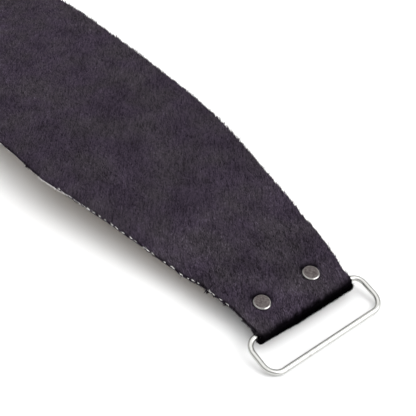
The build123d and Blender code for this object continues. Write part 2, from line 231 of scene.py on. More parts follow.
def cloth_heading(s):
    """The slope of the cloth at distances along it, in radians."""
    return np.interp(s, CLOTH_S, CLOTH_HEADING)


def distance_along(x):
    """The distance along the cloth of places on its upper side."""
    return np.interp(x, CLOTH_X[TOP_SIDE], CLOTH_S[TOP_SIDE])


# Large odd numbers that scatter the values at the corners of the noise's cells
SCATTER_U, SCATTER_V, SCATTER_SEED, SCATTER_AGAIN = 374761393, 668265263, 1442695041, 1274126177


def lattice(u, v, seed):
    """Smooth noise from -1 to 1 over a plane, with a cell one unit wide."""
    i, j = np.floor(u).astype(np.int64), np.floor(v).astype(np.int64)
    fu, fv = u - i, v - j
    fu, fv = fu * fu * (3 - 2 * fu), fv * fv * (3 - 2 * fv)

    def corner(a, b):
        h = (a * SCATTER_U + b * SCATTER_V + seed * SCATTER_SEED) & 0xFFFFFFFF
        h = ((h ^ (h >> 13)) * SCATTER_AGAIN) & 0xFFFFFFFF
        return (h ^ (h >> 16)) / 2**31 - 1

    low = corner(i, j) * (1 - fu) + corner(i + 1, j) * fu
    high = corner(i, j + 1) * (1 - fu) + corner(i + 1, j + 1) * fu
    return low * (1 - fv) + high * fv


def clamped_spline(x, y, first, last):
    """The slopes at the knots of a smooth curve with given end slopes."""
    n = len(x)
    a, b = np.zeros((n, n)), np.zeros(n)
    a[0, 0], b[0], a[-1, -1], b[-1] = 1, first, 1, last
    for i in range(1, n - 1):
        before, after = x[i] - x[i - 1], x[i + 1] - x[i]
        a[i, i - 1 : i + 2] = 1 / before, 2 / before + 2 / after, 1 / after
        b[i] = 3 * ((y[i] - y[i - 1]) / before**2 + (y[i + 1] - y[i]) / after**2)
    return np.linalg.solve(a, b)


def smooth(low, high, value):
    """Rises smoothly from 0 to 1 between two values."""
    t = np.clip((value - low) / (high - low), 0, 1)
    return t * t * (3 - 2 * t)


def hump(rise_from, rise_to, fall_from, fall_to, value):
    """Rises smoothly from 0 to 1, and falls back to 0 further on."""
    return smooth(rise_from, rise_to, value) * (1 - smooth(fall_from, fall_to, value))


# The trimmed strip: distances behind the bar, and the half width there
LEFT_CORNER = [(0, 29.2), (12, 33.8)]
LEFT_TIP = [(12, 33.8), (72, 47.4), (160, 60.7)]
RIGHT_TIP = [(16, 32.8), (165, 62.6)]
WAIST = [(366, 67), (926, 54), (1486, 61)]
TAIL = [(1486, 61), (1566, 46), (1616, 31), (1620, 29.8)]
OUTLINE_X = np.arange(-1620, 12, 1.0)
ROUNDED_OVER = 11


def long_side(taper_end, behind):
    """Half widths along the strip's long side, from the end of the tip's taper to the tail."""
    x, y = np.array([taper_end, *WAIST], float).T
    slopes = clamped_spline(x, y, 2 * (y[1] - y[0]) / (x[1] - x[0]), 0)
    k = np.clip(np.searchsorted(x, behind) - 1, 0, len(WAIST) - 1)
    span = x[k + 1] - x[k]
    t = (behind - x[k]) / span
    rise, dip = t * t * (3 - 2 * t), t * (1 - t)
    return y[k] * (1 - rise) + y[k + 1] * rise + span * dip * (slopes[k] * (1 - t) - slopes[k + 1] * t)


def tapered(stations, behind):
    """Half widths between stations with straight edges."""
    return np.interp(behind, *np.transpose(stations))


def trimmed_outline():
    """The half widths of the trimmed strip at each of OUTLINE_X, on the left and on the right."""
    behind = -OUTLINE_X
    left = np.polyval(np.polyfit(*np.transpose(LEFT_TIP), 2), behind)
    left = np.where(behind < LEFT_TIP[0][0], tapered(LEFT_CORNER, behind), left)
    left = np.where(behind > LEFT_TIP[-1][0], long_side(LEFT_TIP[-1], behind), left)
    right = np.where(behind > RIGHT_TIP[-1][0], long_side(RIGHT_TIP[-1], behind), tapered(RIGHT_TIP, behind))
    sides = []
    for half in (left, right):
        half = np.where(behind > TAIL[0][0], tapered(TAIL, behind), half)
        padded = np.pad(half, ROUNDED_OVER // 2, mode="edge")
        sides.append(np.convolve(padded, np.full(ROUNDED_OVER, 1 / ROUNDED_OVER), mode="valid"))
    return sides


OUTLINE_LEFT, OUTLINE_RIGHT = trimmed_outline()


def proud(x, side):
    """How far the cut edge stands out past the CAD outline, near the tip."""
    if side == LEFT:
        return hump(-85, -60, -48, -42, x) + 0.55 * smooth(-46, -40, x)
    near_bail = 0.7 * smooth(-42, -34, x) + 0.7 * smooth(-22, -10, x) + 0.6 * smooth(-10, -5, x)
    return 0.4 * hump(-170, -155, -120, -105, x) + near_bail


def edge(x, side, inset=0):
    """The y of the cut edge on one side, a little uneven as scissors leave it."""
    half = np.interp(x, OUTLINE_X, OUTLINE_LEFT if side == LEFT else OUTLINE_RIGHT)
    row = np.full_like(x, 0.5)
    uneven = 0.34 * lattice(x / 19, row, 3 + side) + 0.13 * lattice(x / 5.2, row, 9 + side)
    if side == RIGHT:
        uneven = uneven + 0.26 * lattice(x / 2.1, row, 23) * smooth(-125, -100, x)
    return side * (half + uneven + proud(x, side) - inset)


def rim(s, side, inset=0):
    """The y of the cut edge at distances along the cloth. The flap under the tip is trimmed narrower."""
    return edge(cloth_x(s), side, inset + FLAP_TRIM * smooth(ROLL_END - 1, ROLL_END + 8, s))


def points(x, y, z):
    """Points in the row frame, in metres."""
    return np.stack([x * MM + bar_x, y * MM, z * MM], -1)


def on_cloth(s, y, offset):
    """Row-frame points at distances along the cloth, across it and above its underside."""
    z = np.interp(s, CLOTH_S, CLOTH_Z)
    h = cloth_heading(s)
    return points(cloth_x(s) - offset * np.sin(h), y, z + offset * np.cos(h))


def from_cloth(along, across, away, h):
    """Directions along the cloth, across it and away from it, turned into the row frame."""
    return np.stack([along * np.cos(h) - away * np.sin(h), across, along * np.sin(h) + away * np.cos(h)], -1)


def unit(vectors):
    """Directions of length 1."""
    return vectors / np.linalg.norm(vectors, axis=-1, keepdims=True)


def rivet_distance(place):
    """How far row-frame points are from the nearer of the tip's rivets, and how far along the lay."""
    slope = np.array([math.cos(TIP_SLOPE), 0, -math.sin(TIP_SLOPE)])
    axis = np.array([math.sin(TIP_SLOPE), 0, math.cos(TIP_SLOPE)])
    lay = unit(LAY)
    nearest, behind = np.full(place.shape[:-1], np.inf), np.zeros(place.shape[:-1])
    for side in (RIGHT, LEFT):
        foot = np.array([bar_x, 0, bar_z]) + slope * TIP_RIVET * MM
        foot[1] = (RIVET_SHIFT + side * RIVET_HALF_SPACING) * MM
        away = place - foot
        away -= (away @ axis)[..., None] * axis
        distance = np.linalg.norm(away, axis=-1) / MM
        behind = np.where(distance < nearest, away @ lay / MM, behind)
        nearest = np.minimum(nearest, distance)
    return nearest, behind


def parted_and_shaded(near, behind):
    """From 0 to 1, how near a rivet's head points are, on the side the nap lies towards, where the nap
    is thinned and painted darker as the head's shadow.
    """
    way = smooth(-0.1, 0.8, behind / np.maximum(near, 1e-6))
    return way * (1 - smooth(HEAD_RADIUS + 0.9, HEAD_RADIUS + 3.6, near))


def downturn_shade(s, y, jitter=0):
    """From 0 to 1, painted shade for the near-black band where the fold round the bail turns the cloth
    forward and down, lock by lock. It depends on how many degrees down the cloth points."""
    down = -np.degrees(cloth_heading(s)) + 6 * lattice(y / 2.6, s / 60, 6) + jitter
    return hump(20, 62, 150, 185, down)


# Mesh attributes that the materials read, so that a pattern stays on its cloth when that bends
FLAT = "flat_place"
# How pale a tuft is, at random, with painted shadow round the rivets and a painted highlight by the fold
TONE = "tone"
# The painted-shade attribute: 0 where the nap's roots, the fold's band, a rivet's shadow side and the
# webbing's hollows are painted darkest, 1 where no shade is painted
UNSHADED = "unshaded"


def new_object(name, data):
    """An object in the scene."""
    made = bpy.data.objects.new(name, data)
    bpy.context.scene.collection.objects.link(made)
    return made


def mesh_object(name, vertices, faces, material, flat=None, tone=None, unshaded=None, shade_smooth=True):
    """A mesh with its flat coordinates on the cut cloth, in millimetres, kept for its material."""
    mesh = bpy.data.meshes.new(name)
    mesh.from_pydata(vertices.reshape(-1, 3).tolist(), [], faces)
    mesh.polygons.foreach_set("use_smooth", [shade_smooth] * len(mesh.polygons))
    for label, kind, key, values in (
        (FLAT, "FLOAT_VECTOR", "vector", flat),
        (TONE, "FLOAT", "value", tone),
        (UNSHADED, "FLOAT", "value", unshaded),
    ):
        if values is not None:
            attribute = mesh.attributes.new(label, kind, "POINT")
            attribute.data.foreach_set(key, np.asarray(values, np.float32).ravel())
    mesh.materials.append(material)
    mesh.update()
    return new_object(name, mesh)


def ring_faces(rows, columns):
    """The quads of a closed tube of rings, and its two end faces."""
    i, j = np.meshgrid(np.arange(rows - 1), np.arange(columns), indexing="ij")
    after = (j + 1) % columns
    low, high = i * columns, (i + 1) * columns
    quads = np.stack([low + j, low + after, high + after, high + j], -1)
    ends = [list(range(columns))[::-1], [(rows - 1) * columns + k for k in range(columns)]]
    return quads.reshape(-1, 4).tolist() + ends


def tubes_mesh(name, vertices, rings, sides, material, flat):
    """Many closed tubes of the same number of rings, given as all their points in turn."""
    tube = ring_faces(rings, sides)
    faces = [[k + base for k in face] for base in range(0, len(vertices), rings * sides) for face in tube]
    return mesh_object(name, vertices, faces, material, flat)


# The nap's felted body: how its sides climb from the edge, its top, how high it is above the backing, how far
# a rivet presses it down, and how far its foot is sunk in the backing
EDGE_INSETS = np.array([0, 0.25, 0.6, 1.1])
EDGE_SHARES = np.array([0.30, 0.62, 0.84, 0.96])
TOP_INSET = 1.7
TOP_COLUMNS = 112
FELT = 1.62
DENT = 0.85
FOOT_SUNK = 0.02


def felt_relief(along, y):
    """Hollows and tufts in the felt, drawn out roughly along the lay."""
    u, v = 0.78 * along - 0.62 * y, 0.62 * along + 0.78 * y
    relief = 0.10 * lattice(along / 9, y / 9, 1) + 0.13 * lattice(u / 4.2, v / 1.5, 2)
    return relief + 0.10 * lattice(u / 2.1, v / 0.9, 4)


def plush_layer(material):
    """The nap's body: a low felt of fibres with tufts and a lay, dented where the rivets press it."""
    s = CLOTH_S[:, None]
    left, right = rim(s, LEFT, 0.1), rim(s, RIGHT, 0.25)
    first, last = left - TOP_INSET, right + TOP_INSET
    top = first + (last - first) * np.linspace(0, 1, TOP_COLUMNS)
    y = np.hstack([left - EDGE_INSETS, top, right + EDGE_INSETS[::-1]])
    share = np.concatenate([EDGE_SHARES, np.ones(TOP_COLUMNS), EDGE_SHARES[::-1]])
    along = s + 0 * y
    offset = BACKING_TOP + (FELT + felt_relief(along, y)) * share
    near, behind = rivet_distance(on_cloth(along, y, offset))
    offset -= DENT * (1 - smooth(HEAD_RADIUS - 0.1, HEAD_RADIUS + 1.7, near)) * share
    parting_shade = np.hstack([0 * near[:, :2], parted_and_shaded(near, behind)])
    y = np.hstack([right, left, y])
    offset = np.hstack([np.full((len(s), 2), BACKING_TOP - FOOT_SUNK), offset])
    along = s + 0 * y
    flat = np.stack([along, y, offset], -1)
    band_shade = downturn_shade(along, y, 5 * lattice(y / 1.3, along / 50, 5))
    # Painted shade: the felt under the tufts darker than their tips, near black in the fold's band, darker on
    # a rivet's shadow side
    unshaded = 0.55 * (1 - band_shade) * (1 - 0.9 * parting_shade)
    faces = ring_faces(*y.shape)
    return mesh_object("plush", on_cloth(along, y, offset), faces, material, flat, 0 * unshaded, unshaded)


# Where the right edge shows the backing, in one line and then in dashes
SHOWN = (-165, -162, -147, -144)
DASHED = (-147, -144, -128, -120)
OVERHANG = 0.9
FLAT_COLUMNS = 10


def overhang(x, side):
    """How far the nap overhangs the layers under it. On the right it is trimmed flush in places."""
    near_bail = 0.4 * smooth(-95, -45, x) + 1.4 * smooth(-48, -32, x)
    if side == LEFT:
        return OVERHANG + near_bail
    dashes = lattice(x / 1.8, 0 * x + 0.5, 17) * hump(*DASHED, x)
    return OVERHANG * (1 - hump(*SHOWN, x)) - 0.7 * np.clip(dashes, 0, 1) + near_bail


def flat_layer(name, low, high, inset, material):
    """A thin layer of the laminate, cut to the outline."""
    s = CLOTH_S[:, None]
    left, right = (rim(s, side, inset + overhang(cloth_x(s), side)) for side in (LEFT, RIGHT))
    top = left + (right - left) * np.linspace(0, 1, FLAT_COLUMNS)
    y = np.hstack([top, top[:, ::-1]])
    offset = np.hstack([np.full_like(top, high), np.full_like(top, low)])
    along = s + 0 * y
    flat = np.stack([along, y, offset], -1)
    return mesh_object(name, on_cloth(along, y, offset), ring_faces(*y.shape), material, flat)


# A tuft's shape: how far its middle bows out, as a share of its length, how much narrower it is there than at
# its root, and the painted shade at its corners, from dark roots to a pale tip
BLADE_CURL = 0.06
BLADE_NARROWS = 0.8
BLADE_UNSHADED = np.array([0.12, 0.12, 0.62, 0.62, 1.0])


def blades(name, material, place, heading, across, width, tone, dark):
    """Curved, pointed tufts of fibres. place: their distance along the cloth, across it and above its
    underside. heading: the way they point, as long as they are. across: the way their flat side runs."""
    root, heading = on_cloth(*place), heading * MM
    half = across * (width * MM / 2)[:, None]
    rise = np.cross(heading, across)
    rise /= np.maximum(np.linalg.norm(rise, axis=-1, keepdims=True), 1e-9)
    rise *= np.sign(rise[:, 2:3] + 1e-9)
    reach = np.linalg.norm(heading, axis=-1, keepdims=True)
    middle = root + heading * 0.5 + rise * reach * BLADE_CURL
    narrow = half * BLADE_NARROWS
    corners = np.stack([root - half, root + half, middle - narrow, middle + narrow, root + heading], 1)
    first = np.arange(len(root))[:, None] * len(BLADE_UNSHADED)
    faces = (first + [0, 1, 3, 2]).tolist() + (first + [2, 3, 4]).tolist()
    # Painted shade: darker at the roots, paler to the tip, and darker all over as dark says
    unshaded = BLADE_UNSHADED * (1 - np.broadcast_to(dark, len(root))[:, None])
    flat, tone = (np.repeat(values, len(BLADE_UNSHADED), 0) for values in (np.stack(place, -1), tone))
    return mesh_object(name, corners, faces, material, flat, tone, unshaded, shade_smooth=False)


# A half width that no part of the cloth reaches
WIDEST = 68
# How far inside the cut edges tufts begin
BARE_LEFT = 0.35
BARE_RIGHT = 0.5


def scatter(rng, first_x, last_x, density):
    """Random places on the upper side of the cloth, between two distances from the bar."""
    s_low, s_high = distance_along([first_x, last_x])
    count = int((s_high - s_low) * 2 * WIDEST * density)
    s = rng.uniform(s_low, s_high, count)
    y = rng.uniform(-WIDEST, WIDEST, count)
    inside = (y < rim(s, LEFT, BARE_LEFT)) & (y > rim(s, RIGHT, BARE_RIGHT))
    return s[inside], y[inside]


def lying(rng, s, y, length):
    """The way tufts point, wandering a little round the lay, and the way their flat sides run."""
    lie = rng.normal(0, 0.30, len(s)) + 0.35 * lattice(s / 14, y / 14, 11)
    along = LAY[0] * np.cos(lie) - LAY[1] * np.sin(lie)
    sideways = LAY[0] * np.sin(lie) + LAY[1] * np.cos(lie)
    lift = rng.uniform(0.18, 0.46, len(s))
    size = length * rng.uniform(0.6, 1.25, len(s))
    h = cloth_heading(s)
    return from_cloth(along * size, sideways * size, lift * size, h), unit(from_cloth(-sideways, along, 0, h))


# How high above the cloth's underside tufts begin, and how wide a bare ring a rivet's head has
MEAN_ROOT = 2.0
ROOT_RANGE = (1.7, 2.3)
BARE_ROUND_RIVET = 0.25


def field_tone_and_light(rng, x, near):
    """How pale each tuft is: varied at random, most at the tip, with painted shadow round the rivets and a
    painted highlight by the fold.
    """
    tone = np.clip(rng.normal(0, 1, len(x)) * (0.41 + 0.51 * smooth(-110, -20, x)), -1, 1)
    # Painted shadow round each rivet's head
    tone -= 0.5 * (1 - smooth(HEAD_RADIUS + 0.4, HEAD_RADIUS + 2.6, near))
    # Painted highlight on the nap before the fold and right beside it
    tone += 0.38 * hump(-95, -75, -50, -42, x) + 0.85 * smooth(-20, -8, x)
    return tone + 0.24 * (1 - smooth(-245, -195, x))


def nap_field(name, seed, first_x, last_x, density, length, width, material):
    """Tufts of nap over part of the cloth, all leaning the way it lies, so many to the square millimetre."""
    rng = np.random.default_rng(seed)
    s, y = scatter(rng, first_x, last_x, density)
    near, behind = rivet_distance(on_cloth(s, y, MEAN_ROOT))
    parting_shade = parted_and_shaded(near, behind)
    keep = (near > HEAD_RADIUS + BARE_ROUND_RIVET) & (rng.uniform(0, 1, len(s)) > 0.6 * parting_shade)
    s, y, near, parting_shade = s[keep], y[keep], near[keep], parting_shade[keep]
    sunk = 0.45 * (1 - smooth(HEAD_RADIUS, HEAD_RADIUS + 2.0, near))
    offset = rng.uniform(*ROOT_RANGE, len(s)) - sunk
    heading, across = lying(rng, s, y, length)
    tone = field_tone_and_light(rng, cloth_x(s), near)
    widths = width * rng.uniform(0.6, 1.4, len(s))
    # Painted shade: near black in the fold's band, and darker on a rivet's shadow side
    dark = np.maximum(downturn_shade(s, y, rng.normal(0, 12, len(s))), 0.9 * parting_shade)
    return blades(name, material, (s, y, offset), heading, across, widths, tone, dark)


# The end of the flap that has no loose fibres, and the length round the roll that has more
BARE_END = 8
DENSER_END = 110


def along_edge(rng, first_x, last_x, density, thinned):
    """Random distances along a cut edge, and on round the roll if it reaches the front, so many to the
    millimetre. thinned: the first and last distance of places, and the share kept there."""
    s_low, s_high = distance_along([first_x, last_x])
    round_roll = last_x >= CLOTH_X.max()
    if round_roll:
        s_high = CLOTH_S[-1] - BARE_END
    count = int((s_high - s_low) * density)
    s = rng.uniform(s_low, s_high, count)
    if round_roll:
        s = np.concatenate([s, rng.uniform(s_high - DENSER_END, s_high, count // 4)])
    x = cloth_x(s)
    kept = np.ones(len(s))
    for low, high, share in thinned:
        kept = np.where((x > low) & (x < high) & (s < CLOTH_S[-1] - 2 * FLAP_END), share, kept)
    return s[rng.uniform(0, 1, len(s)) < kept]


def edge_nap(name, seed, side, first_x, last_x, density, thinned, material):
    """Fibres of the nap that hang over a cut edge, here and there in tufts."""
    rng = np.random.default_rng(seed)
    s = along_edge(rng, first_x, last_x, density, thinned)
    count = len(s)
    y = rim(s, side, rng.uniform(0.3, 0.9, count))
    offset = rng.uniform(1.3, 2.6, count)
    tuft = np.clip(1.4 * lattice(s / 1.9, 0 * s + 0.5, seed), 0, 1)
    near_bail = smooth(-80, -30, cloth_x(s))
    size = rng.uniform(0.7, 1.5, count) * (0.75 + 0.8 * tuft)
    out = rng.uniform(0.3, 0.8, count) * (0.5 + 0.8 * tuft) * (1 - 0.3 * near_bail)
    back = rng.uniform(-0.9, 0.2, count)
    drop = rng.uniform(-1.0, 0.1, count) - 0.7 * near_bail
    h = cloth_heading(s)
    heading = from_cloth(back, side * out, drop, h) * size[:, None]
    across = unit(from_cloth(1, -side * back * 0.5, 0, h))
    tone = np.clip(rng.normal(-0.25, 0.45, count), -1, 1)
    widths = rng.uniform(0.2, 0.42, count)
    # Painted shade: the hanging fibres are darker all along the edge, and more so in the fold's band
    dark = 0.35 + 0.5 * downturn_shade(s, y)
    return blades(name, material, (s, y, offset), heading, across, widths, tone, dark)


def fold_nap(name, seed, first, last, count, shortest, longest, material):
    """Nap that stands away from the roll at the front, where the fold splits it. first and last are
    distances along the cloth from the roll's end."""
    rng = np.random.default_rng(seed)
    s = rng.uniform(ROLL_END + first, ROLL_END + last, count)
    low, high = rim(s, RIGHT, 0.3), rim(s, LEFT, 0.3)
    y = rng.uniform(0, 1, count) * (high - low) + low
    h = cloth_heading(s) + rng.normal(0.35, 0.3, count)
    size = rng.uniform(shortest, longest, count)
    size *= 1 - 0.45 * smooth(140, 180, -np.degrees(cloth_heading(s)))
    size *= 1 - 0.45 * smooth(5, 33, -y)
    heading = from_cloth(0, rng.normal(0, 0.25, count), 1, h) * size[:, None]
    across = np.tile([0.0, 1.0, 0.0], (count, 1))
    offset = rng.uniform(1.6, 2.2, count)
    tone = np.clip(rng.normal(-0.4, 0.35, count), -1, 1)
    widths = rng.uniform(0.2, 0.5, count)
    # Painted shade: near black where the fold turns the cloth down
    dark = downturn_shade(s, y, rng.normal(0, 9, count))
    return blades(name, material, (s, y, offset), heading, across, widths, tone, dark)


# Loose yarn ends along part of an edge: its side, first and last distance, the clumps' pitch, the threads in
# each and their spread, how far out and how high they start, the longest, and how far they lie along the edge
# and stand up
Fray = namedtuple("Fray", "side first_x last_x pitch each spread out high longest lying standing")
THREAD_RADIUS = 0.13
THREAD_RINGS = 4
THREAD_SIDES = 4


def circles(way, sides):
    """Points of unit circles square to directions that aren't upright."""
    u = unit(np.cross(way, [0, 0, 1.0]))
    v = np.cross(way, u)
    turn = np.arange(sides) * 2 * math.pi / sides
    return u[:, None, None] * np.cos(turn)[:, None] + v[:, None, None] * np.sin(turn)[:, None]


def frayed(rng, run):
    """The points of the threads along one run, and their flat coordinates."""
    s_low, s_high = distance_along([run.first_x, run.last_x])
    clumps = np.arange(s_low, s_high, run.pitch)
    clumps = clumps + rng.normal(0, 0.28 * run.pitch, len(clumps))
    largest = np.repeat(rng.uniform(0.35, 1.15, len(clumps)) * run.longest, run.each)
    count = len(largest)
    s = np.repeat(clumps, run.each) + rng.normal(0, run.spread, count)
    y = rim(s, run.side, 0.1 - run.out * rng.uniform(0.5, 1.0, count))
    root = on_cloth(s, y, run.high + rng.uniform(-0.3, 0.3, count))
    size = (largest * rng.uniform(0.35, 1.0, count) * MM)[:, None, None]
    h = cloth_heading(s)
    lean = rng.normal(-0.5 * run.lying, 0.8 * run.lying, count)
    rise = rng.uniform(0.3, 1.0, count) * run.standing
    outward = run.side * rng.uniform(0.3, 0.9, count)
    way = unit(np.stack([lean * np.cos(h), outward, lean * np.sin(h) + rise], -1))
    curl = rng.normal(0, 0.3, (count, 3)) * [1, 0.3, 1]
    t = np.linspace(0, 1, THREAD_RINGS)[None, :, None]
    line = root[:, None] + way[:, None] * t * size + curl[:, None] * t**2 * size
    radius = THREAD_RADIUS * MM * (1 - 0.6 * t[..., None]) * rng.uniform(0.7, 1.3, (count, 1, 1, 1))
    tubes = line[:, :, None] + circles(way, THREAD_SIDES) * radius
    flat = np.repeat(np.stack([s, y, 0 * s], -1), THREAD_RINGS * THREAD_SIDES, 0)
    return tubes.reshape(-1, 3), flat


def threads(name, seed, runs, material):
    """Pale ends of the backing's yarns along the cut edges, in clumps."""
    rng = np.random.default_rng(seed)
    vertices, flat = (np.concatenate(part) for part in zip(*[frayed(rng, run) for run in runs]))
    return tubes_mesh(name, vertices, THREAD_RINGS, THREAD_SIDES, material, flat)


def strap_line():
    """The strap's line, from its free end, through the buckle and round the hook's bar."""
    hook_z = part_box("tail_hook")[1].z / MM - HOOK_WIRE_RADIUS
    strap_z = TAIL_LIFT + NAP_TOP + PLATE + PLY_GAP + STRAP_THICKNESS / 2
    ply = (STRAP_THICKNESS + PLY_GAP) / 2
    radius = LOOP_RADIUS + STRAP_THICKNESS / 2
    climb = hook_z - ply - strap_z
    slope_run = (climb - 2 * SLOPE_BEND * (1 - math.cos(STRAP_SLOPE))) / math.sin(STRAP_SLOPE)
    loop_climb = radius * math.cos(LOOP_OPENING) - ply - LOOP_BEND * (1 - math.cos(LOOP_OPENING))
    loop_run = loop_climb / math.sin(LOOP_OPENING)
    steps = [
        straight(STRAP_FREE_END + STRAP_LEVEL),
        turned(SLOPE_BEND, -STRAP_SLOPE),
        straight(slope_run),
        turned(SLOPE_BEND, STRAP_SLOPE),
        straight(STITCHED_UPPER),
        turned(LOOP_BEND, LOOP_OPENING),
        straight(loop_run),
        turned(radius, -math.pi - 2 * LOOP_OPENING),
        straight(loop_run),
        turned(LOOP_BEND, LOOP_OPENING),
        straight(STITCHED_LOWER),
    ]
    return walk(TAIL_END + STRAP_FREE_END, strap_z, math.pi, steps, lambda x: STRAP_PITCH)


def strap_mesh(material):
    """Flat woven webbing: rows of knuckles along it, rounded edges, and a heat-cut free end."""
    x, z, h, s = strap_line()
    u, v = s[:, None], STRAP_HALF_WIDTH * np.linspace(-1, 1, STRAP_COLUMNS)[None, :]
    rib = v / RIB
    weave = 0.5 + 0.5 * np.cos(2 * math.pi * (u / KNUCKLE + 0.5 * (np.floor(rib) % 2)))
    relief = WEAVE_RELIEF * (1 - (0.35 + 0.65 * weave) * np.abs(np.sin(math.pi * rib)))
    rounded = 1 - 0.75 * smooth(STRAP_HALF_WIDTH - 1.0, STRAP_HALF_WIDTH, np.abs(v))
    melted = 0.6 + 0.4 * smooth(0, 1.6, u)
    half = (STRAP_THICKNESS / 2 - relief) * rounded * melted
    y = v + 0 * u
    y = np.hstack([y, y[:, ::-1]])
    offset = np.hstack([half, -half[:, ::-1]])
    place = points(x[:, None] - offset * np.sin(h)[:, None], y, z[:, None] + offset * np.cos(h)[:, None])
    flat = np.stack([u + 0 * y, y, offset], -1)
    # Painted shade: 0 in the hollows between the knuckles, 1 on their crowns, and darker towards the free end
    unshaded = 1 - relief / WEAVE_RELIEF
    unshaded = np.hstack([unshaded, unshaded[:, ::-1]]) * smooth(0.4, 1.4, u)
    return mesh_object("webbing_strap", place, ring_faces(*y.shape), material, flat, 0 * unshaded, unshaded)


def stitch(cx, cy, cz, up):
    """The points of one short plump lay of thread that dips into the webbing at its ends."""
    turn = np.arange(STITCH_SIDES) * 2 * math.pi / STITCH_SIDES
    t = np.linspace(-1, 1, STITCH_RINGS)[:, None]
    radius = STITCH_RADIUS * MM * (1 - 0.35 * t**4) * (1 + 0.10 * np.cos(2 * turn + 5 * t))
    x = cx + radius * np.cos(turn)
    y = cy + STITCH_HALF * MM * t + 0 * x
    z = cz - up * (0.32 + 0.35 * t**4) * MM + radius * np.sin(turn) * up
    return np.stack([x, y, z], -1).reshape(-1, 3)


def stitch_mesh(material):
    """The stitches that close the strap's loop, on both its faces."""
    low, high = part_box("strap_stitching")
    xs = np.linspace(low.x + 0.25 * MM, high.x - 0.25 * MM, STITCH_ROWS)
    ys = np.linspace(low.y + 1.1 * MM, high.y - 1.1 * MM, STITCHES_IN_ROW)
    faces = ((high.z, 1), (low.z, -1))
    vertices = np.concatenate([stitch(x, y, z, up) for x in xs for y in ys for z, up in faces])
    return tubes_mesh("stitches", vertices, STITCH_RINGS, STITCH_SIDES, material, vertices / MM)


class Nodes:
    """Short ways to add nodes to a tree."""

    def __init__(self, tree):
        self.tree = tree

    def put(self, socket, value):
        """Links another node's output to a socket, or sets its value."""
        if isinstance(value, bpy.types.NodeSocket):
            self.tree.links.new(value, socket)
        else:
            socket.default_value = value

    def add(self, kind, inputs, output=0, **settings):
        """A new node with its inputs filled in. Gives one of its outputs."""
        made = self.tree.nodes.new("ShaderNode" + kind)
        for key, value in settings.items():
            setattr(made, key, value)
        for key, value in inputs.items():
            self.put(made.inputs[key], value)
        return made.outputs[output]

    def parts(self, vector):
        """The outputs X, Y and Z of a vector."""
        made = self.tree.nodes.new("ShaderNodeSeparateXYZ")
        self.tree.links.new(vector, made.inputs[0])
        return made.outputs

    def levels(self, value, low, high, to_low=0.0, to_high=1.0, **settings):
        """From one range to another, and no further than its ends."""
        limits = {"From Min": low, "From Max": high, "To Min": to_low, "To Max": to_high}
        return self.add("MapRange", {"Value": value, **limits}, "Result", **settings)

    def maths(self, operation, a, b=0.0):
        return self.add("Math", {0: a, 1: b}, operation=operation)


class Finish(Nodes):
    """A material made of nodes. Its patterns are in millimetres."""

    def __init__(self, name, constants):
        self.material = bpy.data.materials.new(name)
        self.material.use_nodes = True
        super().__init__(self.material.node_tree)
        self.shader = self.tree.nodes["Principled BSDF"]
        for socket, value in constants.items():
            self.shader.inputs[socket].default_value = value

    def attribute(self, name, output="Fac"):
        return self.add("Attribute", {}, output, attribute_name=name)

    def place(self):
        """Object coordinates in millimetres."""
        return self.stretched(self.add("TexCoord", {}, "Object"), (1 / MM,) * 3)

    def stretched(self, vector, scale, turn=0):
        """A vector turned about Z and then scaled."""
        if turn:
            vector = self.add("Mapping", {"Vector": vector, "Rotation": (0, 0, turn)})
        return self.add("Mapping", {"Vector": vector, "Scale": scale})

    def noise(self, vector, scale, detail=2.0, roughness=0.5):
        inputs = {"Vector": vector, "Scale": scale, "Detail": detail, "Roughness": roughness}
        return self.add("TexNoise", inputs, "Fac")

    def wave(self, vector, direction, **inputs):
        return self.add("TexWave", {"Vector": vector, **inputs}, "Fac", bands_direction=direction)

    def mixed(self, share, a, b):
        """From colour a to colour b."""
        made = self.tree.nodes.new("ShaderNodeMix")
        made.data_type = "RGBA"
        self.put(made.inputs[0], share)
        for index, colour in ((6, a), (7, b)):
            self.put(made.inputs[index], (*colour, 1) if isinstance(colour, tuple) else colour)
        return made.outputs[2]

    def bump(self, height, distance, strength=1.0):
        return self.add("Bump", {"Height": height, "Distance": distance * MM, "Strength": strength})

    def feed(self, colour, rough, normal):
        for key, value in (("Base Color", colour), ("Roughness", rough), ("Normal", normal)):
            self.tree.links.new(value, self.shader.inputs[key])
        return self.material


def plush_finish():
    """Short dense nap: mottled purple-grey and neutral patches, streaks along the lay, specks, and painted
    shade at the roots, in the fold's band and beside the rivets.
    """
    f = Finish("nap", {"Specular IOR Level": 0.0})
    flat = f.attribute(FLAT, "Vector")
    patches = f.levels(f.noise(flat, 1 / 26, 3.0, 0.6), 0.40, 0.62)
    colour = f.mixed(patches, (0.0318, 0.0246, 0.0362), (0.0334, 0.0281, 0.0347))
    clouds = f.levels(f.noise(flat, 1 / 16, 2.0, 0.5), 0.32, 0.68, 0.84, 1.16)
    streaks = f.noise(f.stretched(flat, (1 / 7, 1 / 1.1, 1), 0.67), 1.0, 3.0, 0.65)
    shade = f.levels(streaks, 0.28, 0.72, 0.50, 1.55)
    grain = f.levels(f.noise(flat, 1.3, 2.0, 0.6), 0.3, 0.7, 0.65, 1.4)
    # Random paleness of the tufts, with painted shadow round the rivets and a painted highlight by the fold
    tone = f.levels(f.attribute(TONE), -1.0, 2.0, 0.25, 3.02)
    # Painted shade and light: near black deep in the pile, paler than the base colour at the tufts' tips
    unshaded = f.levels(f.attribute(UNSHADED), 0.0, 1.0, 0.05, 1.45)
    for factor in (clouds, shade, grain, tone, unshaded):
        colour = f.add("VectorMath", {0: colour, "Scale": factor}, operation="SCALE")
    rough = f.levels(streaks, 0.3, 0.7, 0.82, 0.96)
    height = f.maths("ADD", streaks, f.noise(flat, 2.2, 3.0, 0.6))
    return f.feed(colour, rough, f.bump(height, 0.35, 0.6))


